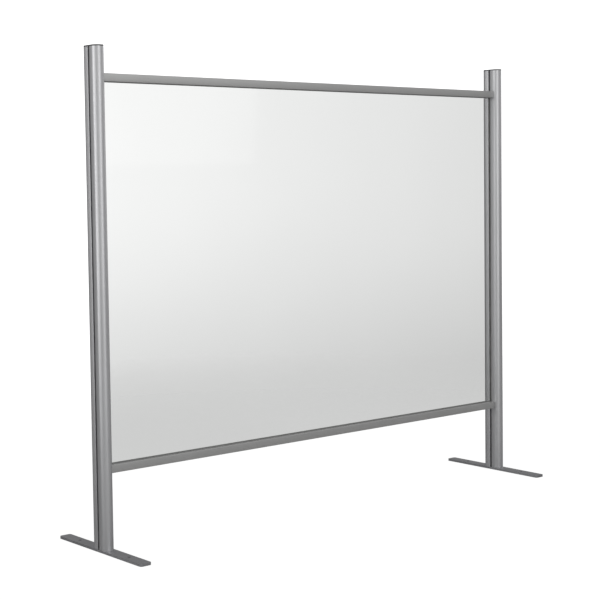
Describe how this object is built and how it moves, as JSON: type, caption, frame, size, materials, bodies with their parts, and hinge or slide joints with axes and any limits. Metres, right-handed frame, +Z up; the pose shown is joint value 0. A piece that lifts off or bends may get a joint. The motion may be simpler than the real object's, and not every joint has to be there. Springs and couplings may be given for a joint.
{
  "type": "sneeze guard",
  "caption": "Counter-top sneeze guard: a clear panel between two grooved rails, held by slotted obround posts on flat bar feet, with a serving gap below.",
  "frame": {"origin": "on the counter, midway between the two posts, in the plane of the panel", "axes": "+X along the panel towards the right post as seen by the customer, +Y away from the customer towards the servers, +Z up"},
  "size_m": [0.915, 0.23, 0.772],
  "materials": {
    "post_aluminium": "satin",
    "rail_aluminium": "satin",
    "foot_metal": "satin",
    "clear_acrylic": "gloss",
    "cap_plastic": "matte",
    "glazing_rubber": "matte",
    "fastener_steel": "satin"
  },
  "bodies": {
    "uprights": {"left_post": "post_aluminium", "right_post": "post_aluminium", "left_post_cap": "cap_plastic", "right_post_cap": "cap_plastic", "left_foot_plate": "foot_metal", "right_foot_plate": "foot_metal", "left_foot_screws": "fastener_steel", "right_foot_screws": "fastener_steel"},
    "glazed_frame": {"clear_panel": "clear_acrylic", "top_rail": "rail_aluminium", "bottom_rail": "rail_aluminium", "top_rail_gasket": "glazing_rubber", "bottom_rail_gasket": "glazing_rubber", "left_edge_seal": "glazing_rubber", "right_edge_seal": "glazing_rubber", "top_left_lock_plate": "fastener_steel", "top_right_lock_plate": "fastener_steel", "bottom_left_lock_plate": "fastener_steel", "bottom_right_lock_plate": "fastener_steel", "top_lock_screws": "fastener_steel", "bottom_lock_screws": "fastener_steel"}
  },
  "joints": [
    {"name": "frame_height", "type": "slide", "parent": "uprights", "child": "glazed_frame", "axis": [0, 0, 1], "range_m": [-0.115, 0.038]}
  ]
}
